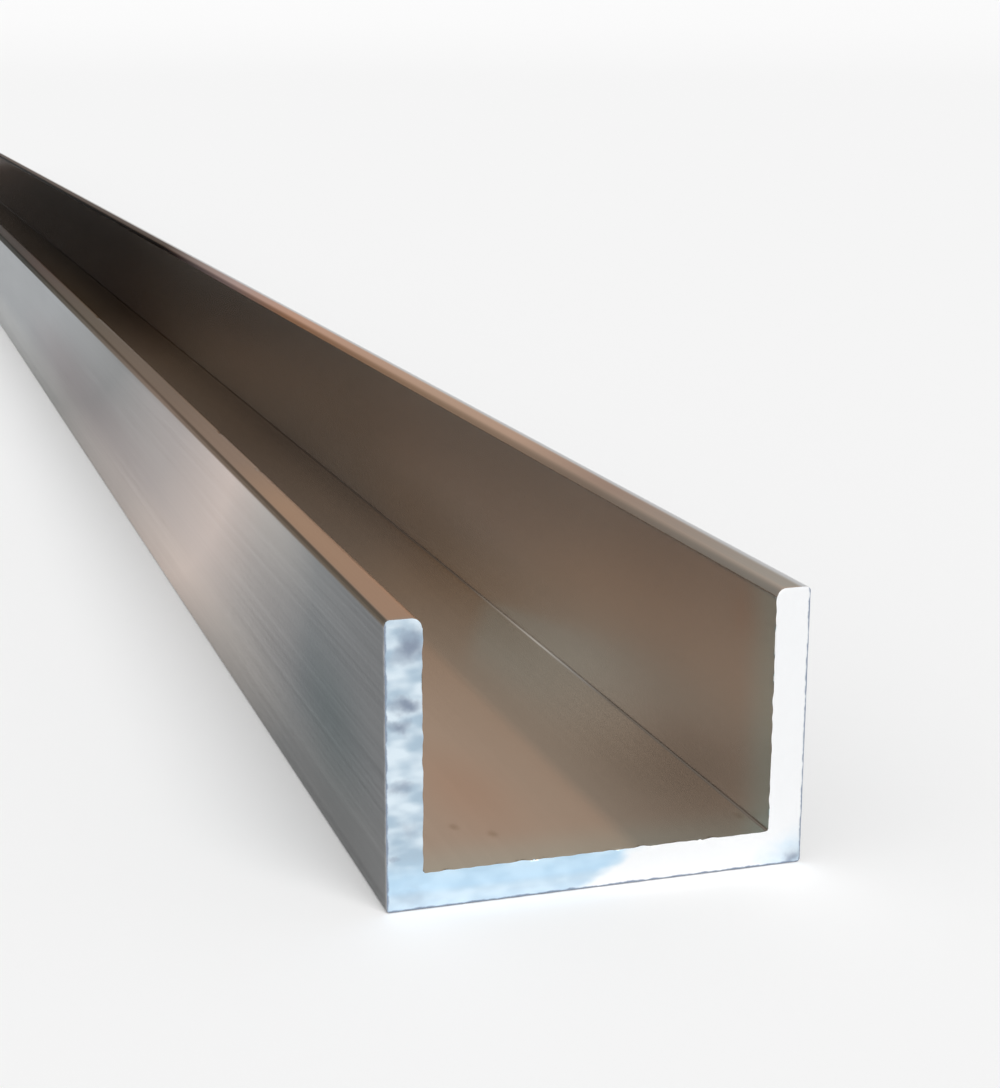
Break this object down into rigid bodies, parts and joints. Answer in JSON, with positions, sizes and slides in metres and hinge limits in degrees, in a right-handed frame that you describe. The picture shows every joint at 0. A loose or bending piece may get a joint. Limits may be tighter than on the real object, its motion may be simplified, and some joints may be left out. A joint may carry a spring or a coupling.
{
  "type": "aluminium channel",
  "caption": "Extruded aluminium U-channel stock: a flat web with two upright flanges with rounded tips, open along its whole length and sawn square at both ends.",
  "frame": {"origin": "middle of the web's back face, half way along the bar, on the floor it lies on", "axes": "+Y along the bar, the nearer pictured end at -Y; +X across the web; +Z out of the open side of the channel"},
  "size_m": [0.0382, 1.2192, 0.0254],
  "materials": {
    "aluminium": "mill finish with fine lines drawn along the bar by the die, bright and rougher on the sawn ends"
  },
  "bodies": {
    "root": {"channel": "aluminium"}
  },
  "joints": []
}
